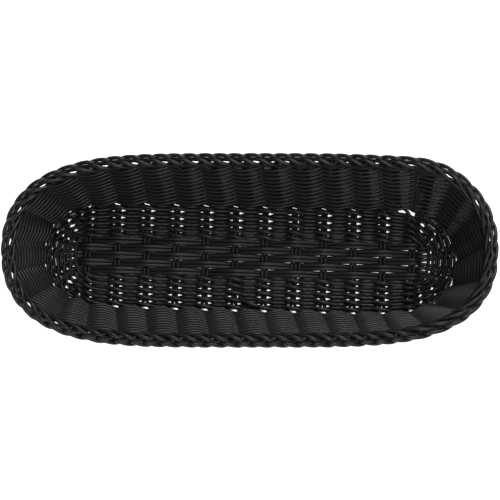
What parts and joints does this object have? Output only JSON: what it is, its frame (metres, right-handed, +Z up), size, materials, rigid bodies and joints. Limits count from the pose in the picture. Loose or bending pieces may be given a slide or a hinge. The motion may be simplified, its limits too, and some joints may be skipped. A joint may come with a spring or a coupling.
{
  "type": "woven bread basket",
  "caption": "Long oval bread basket with sloping sides, an open woven floor, closely woven walls and a thick rope-like border, all in black plastic rattan strand.",
  "frame": {"origin": "middle of the footprint, on the surface the basket rests on", "axes": "+X along the basket's length, +Y across it, +Z up out of its open top"},
  "size_m": [0.4289, 0.1686, 0.0799],
  "materials": {
    "stake_strand": "satin black plastic rattan, finely ribbed along its length",
    "weaver_strand": "satin black plastic rattan, finely ribbed along its length",
    "border_strand": "satin black plastic rattan, a little polished by handling"
  },
  "bodies": {
    "root": {"cross_stake_pair_01": "stake_strand", "cross_stake_pair_02": "stake_strand", "cross_stake_pair_03": "stake_strand", "cross_stake_pair_04": "stake_strand", "cross_stake_pair_05": "stake_strand", "cross_stake_pair_06": "stake_strand", "cross_stake_pair_07": "stake_strand", "cross_stake_pair_08": "stake_strand", "cross_stake_pair_09": "stake_strand", "cross_stake_pair_10": "stake_strand", "cross_stake_pair_11": "stake_strand", "cross_stake_pair_12": "stake_strand", "long_stake_pair_1": "stake_strand", "long_stake_pair_2": "stake_strand", "long_stake_pair_3": "stake_strand", "long_stake_pair_4": "stake_strand", "long_stake_pair_5": "stake_strand", "corner_stake_pair_back_left": "stake_strand", "corner_stake_pair_back_right": "stake_strand", "corner_stake_pair_front_left": "stake_strand", "corner_stake_pair_front_right": "stake_strand", "base_round_1": "weaver_strand", "base_round_2": "weaver_strand", "base_round_3": "weaver_strand", "base_round_4": "weaver_strand", "base_round_5": "weaver_strand", "wall_round_01": "weaver_strand", "wall_round_02": "weaver_strand", "wall_round_03": "weaver_strand", "wall_round_04": "weaver_strand", "wall_round_05": "weaver_strand", "wall_round_06": "weaver_strand", "wall_round_07": "weaver_strand", "wall_round_08": "weaver_strand", "wall_round_09": "weaver_strand", "wall_round_10": "weaver_strand", "wall_round_11": "weaver_strand", "border_strand_1": "border_strand", "border_strand_2": "border_strand", "border_strand_3": "border_strand"}
  },
  "joints": []
}
